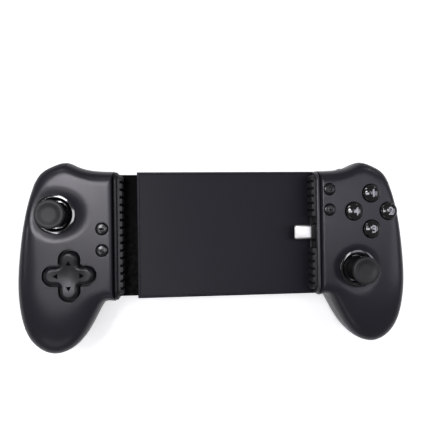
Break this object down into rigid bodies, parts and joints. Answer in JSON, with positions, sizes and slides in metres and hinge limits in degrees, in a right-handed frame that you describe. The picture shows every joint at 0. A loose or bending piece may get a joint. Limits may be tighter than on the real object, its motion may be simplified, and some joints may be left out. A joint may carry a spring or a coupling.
{
  "type": "mobile game controller",
  "caption": "Stretch game controller for a phone: two grips with thumbsticks, buttons, shoulder keys and triggers, joined by a sprung slide with ribbed jaws and a plug.",
  "frame": {"origin": "centre of the closed controller's bounding box in plan, on the surface that the grips' backs lie on", "axes": "+X along the phone towards the grip with the plug, +Y towards the shoulder buttons and triggers, +Z out of the face with the sticks"},
  "size_m": [0.222, 0.1069, 0.05],
  "materials": {
    "grip_plastic": "fine matte texture",
    "frame_plastic": "satin",
    "pad_rubber": "matte",
    "board": "solder mask",
    "gloss_black": "glossy",
    "stick_rubber": "matte",
    "steel": "plain",
    "inner_plastic": "plain",
    "mat_rubber": "matte",
    "button_plastic": "satin",
    "dpad_plastic": "satin",
    "sled_plastic": "satin",
    "bridge_plastic": "fine matte texture",
    "ribbon": "satin",
    "plug_metal": "bright",
    "liner_plastic": "plain",
    "collar_plastic": "satin"
  },
  "bodies": {
    "right_grip": {"bridge_front_cover": "bridge_plastic", "bridge_rear_cover": "bridge_plastic", "bridge_screws": "steel", "slide_springs": "steel", "ribbon_cable": "ribbon", "usb_plug_shell": "plug_metal", "usb_plug_liner": "liner_plastic", "usb_plug_collar": "collar_plastic", "charge_socket": "steel", "right_front_shell": "grip_plastic", "right_rear_shell": "grip_plastic", "right_side_frame": "frame_plastic", "right_side_pad": "pad_rubber", "right_circuit_board": "board", "right_stick_ring": "gloss_black", "right_stick_module": "steel", "right_keypad": "mat_rubber", "right_tact_switches": "inner_plastic", "right_trigger_spring": "steel", "right_hinge_pins": "steel", "right_case_screws": "steel", "right_tongue_screws": "steel"},
    "left_grip": {"slide_sled": "sled_plastic", "left_front_shell": "grip_plastic", "left_rear_shell": "grip_plastic", "left_side_frame": "frame_plastic", "left_side_pad": "pad_rubber", "left_circuit_board": "board", "left_stick_ring": "gloss_black", "left_stick_module": "steel", "left_keypad": "mat_rubber", "left_tact_switches": "inner_plastic", "left_trigger_spring": "steel", "left_hinge_pins": "steel", "left_case_screws": "steel", "left_tongue_screws": "steel"},
    "face_button_upper": {"face_button_upper": "gloss_black"},
    "face_button_outer": {"face_button_outer": "gloss_black"},
    "face_button_lower": {"face_button_lower": "gloss_black"},
    "face_button_inner": {"face_button_inner": "gloss_black"},
    "left_small_button_upper": {"left_small_button_upper": "button_plastic"},
    "left_small_button_lower": {"left_small_button_lower": "button_plastic"},
    "right_small_button_upper": {"right_small_button_upper": "button_plastic"},
    "right_small_button_lower": {"right_small_button_lower": "button_plastic"},
    "dpad_rocker": {"dpad_rocker": "inner_plastic"},
    "dpad": {"dpad": "dpad_plastic"},
    "left_stick_gimbal": {"left_stick_gimbal": "inner_plastic"},
    "left_stick_swivel": {"left_stick_swivel": "inner_plastic"},
    "left_stick_cap": {"left_stick_cap": "stick_rubber", "left_stick_shaft": "steel"},
    "left_stick_arch": {"left_stick_arch": "inner_plastic"},
    "right_stick_gimbal": {"right_stick_gimbal": "inner_plastic"},
    "right_stick_swivel": {"right_stick_swivel": "inner_plastic"},
    "right_stick_cap": {"right_stick_cap": "stick_rubber", "right_stick_shaft": "steel"},
    "right_stick_arch": {"right_stick_arch": "inner_plastic"},
    "left_bumper": {"left_bumper": "gloss_black"},
    "left_trigger": {"left_trigger": "gloss_black"},
    "right_bumper": {"right_bumper": "gloss_black"},
    "right_trigger": {"right_trigger": "gloss_black"}
  },
  "joints": [
    {"name": "left_grip_slide", "type": "slide", "parent": "right_grip", "child": "left_grip", "axis": [-1, 0, 0], "range_m": [0, 0.072], "stiffness_N_per_m": 100, "springref_m": -0.03, "deforming": ["slide_springs", "ribbon_cable"]},
    {"name": "face_button_upper_press", "type": "slide", "parent": "right_grip", "child": "face_button_upper", "axis": [0, 0, -1], "range_m": [0, 0.0016], "stiffness_N_per_m": 375},
    {"name": "face_button_outer_press", "type": "slide", "parent": "right_grip", "child": "face_button_outer", "axis": [0, 0, -1], "range_m": [0, 0.0016], "stiffness_N_per_m": 375},
    {"name": "face_button_lower_press", "type": "slide", "parent": "right_grip", "child": "face_button_lower", "axis": [0, 0, -1], "range_m": [0, 0.0016], "stiffness_N_per_m": 375},
    {"name": "face_button_inner_press", "type": "slide", "parent": "right_grip", "child": "face_button_inner", "axis": [0, 0, -1], "range_m": [0, 0.0016], "stiffness_N_per_m": 375},
    {"name": "left_small_button_upper_press", "type": "slide", "parent": "left_grip", "child": "left_small_button_upper", "axis": [0, 0, -1], "range_m": [0, 0.0008], "stiffness_N_per_m": 1500},
    {"name": "left_small_button_lower_press", "type": "slide", "parent": "left_grip", "child": "left_small_button_lower", "axis": [0, 0, -1], "range_m": [0, 0.0008], "stiffness_N_per_m": 1500},
    {"name": "right_small_button_upper_press", "type": "slide", "parent": "right_grip", "child": "right_small_button_upper", "axis": [0, 0, -1], "range_m": [0, 0.0008], "stiffness_N_per_m": 1500},
    {"name": "right_small_button_lower_press", "type": "slide", "parent": "right_grip", "child": "right_small_button_lower", "axis": [0, 0, -1], "range_m": [0, 0.0008], "stiffness_N_per_m": 1500},
    {"name": "dpad_tip_up_down", "type": "hinge", "parent": "left_grip", "child": "dpad_rocker", "pos_m": [-0.082, -0.0086, 0.032], "axis": [1, 0, 0], "range_deg": [-3, 3], "stiffness_Nm_per_rad": 0.1},
    {"name": "dpad_tip_sideways", "type": "hinge", "parent": "dpad_rocker", "child": "dpad", "pos_m": [-0.082, -0.0086, 0.032], "axis": [0, 1, 0], "range_deg": [-3, 3], "stiffness_Nm_per_rad": 0.1},
    {"name": "left_stick_tip_up_down", "type": "hinge", "parent": "left_grip", "child": "left_stick_gimbal", "pos_m": [-0.0894, 0.0246, 0.031], "axis": [1, 0, 0], "range_deg": [-18, 18], "stiffness_Nm_per_rad": 0.05},
    {"name": "left_stick_tip_sideways", "type": "hinge", "parent": "left_stick_gimbal", "child": "left_stick_swivel", "pos_m": [-0.0894, 0.0246, 0.031], "axis": [0, 1, 0], "range_deg": [-18, 18], "stiffness_Nm_per_rad": 0.05},
    {"name": "left_stick_press", "type": "slide", "parent": "left_stick_swivel", "child": "left_stick_cap", "axis": [0, 0, -1], "range_m": [0, 0.0005], "stiffness_N_per_m": 8000},
    {"name": "left_stick_arch_turn", "type": "hinge", "parent": "left_grip", "child": "left_stick_arch", "pos_m": [-0.0894, 0.0246, 0.031], "axis": [0, 1, 0], "range_deg": [-18, 18]},
    {"name": "right_stick_tip_up_down", "type": "hinge", "parent": "right_grip", "child": "right_stick_gimbal", "pos_m": [0.0802, -0.0086, 0.031], "axis": [1, 0, 0], "range_deg": [-18, 18], "stiffness_Nm_per_rad": 0.05},
    {"name": "right_stick_tip_sideways", "type": "hinge", "parent": "right_stick_gimbal", "child": "right_stick_swivel", "pos_m": [0.0802, -0.0086, 0.031], "axis": [0, 1, 0], "range_deg": [-18, 18], "stiffness_Nm_per_rad": 0.05},
    {"name": "right_stick_press", "type": "slide", "parent": "right_stick_swivel", "child": "right_stick_cap", "axis": [0, 0, -1], "range_m": [0, 0.0005], "stiffness_N_per_m": 8000},
    {"name": "right_stick_arch_turn", "type": "hinge", "parent": "right_grip", "child": "right_stick_arch", "pos_m": [0.0802, -0.0086, 0.031], "axis": [0, 1, 0], "range_deg": [-18, 18]},
    {"name": "left_bumper_press", "type": "hinge", "parent": "left_grip", "child": "left_bumper", "pos_m": [-0.0795, 0.0463, 0.029], "axis": [0, 0, 1], "range_deg": [0, 2.5], "stiffness_Nm_per_rad": 0.46},
    {"name": "left_trigger_pull", "type": "hinge", "parent": "left_grip", "child": "left_trigger", "pos_m": [-0.0879, 0.0396, 0.0164], "axis": [-1, 0, 0], "range_deg": [0, 16], "stiffness_Nm_per_rad": 0.09, "deforming": ["left_trigger_spring"]},
    {"name": "right_bumper_press", "type": "hinge", "parent": "right_grip", "child": "right_bumper", "pos_m": [0.0795, 0.0463, 0.029], "axis": [0, 0, -1], "range_deg": [0, 2.5], "stiffness_Nm_per_rad": 0.46},
    {"name": "right_trigger_pull", "type": "hinge", "parent": "right_grip", "child": "right_trigger", "pos_m": [0.0879, 0.0396, 0.0164], "axis": [-1, 0, 0], "range_deg": [0, 16], "stiffness_Nm_per_rad": 0.09, "deforming": ["right_trigger_spring"]}
  ],
  "couplings": [
    {"joint": "left_stick_arch_turn", "follows": "left_stick_tip_sideways", "ratio": 1},
    {"joint": "right_stick_arch_turn", "follows": "right_stick_tip_sideways", "ratio": 1}
  ]
}
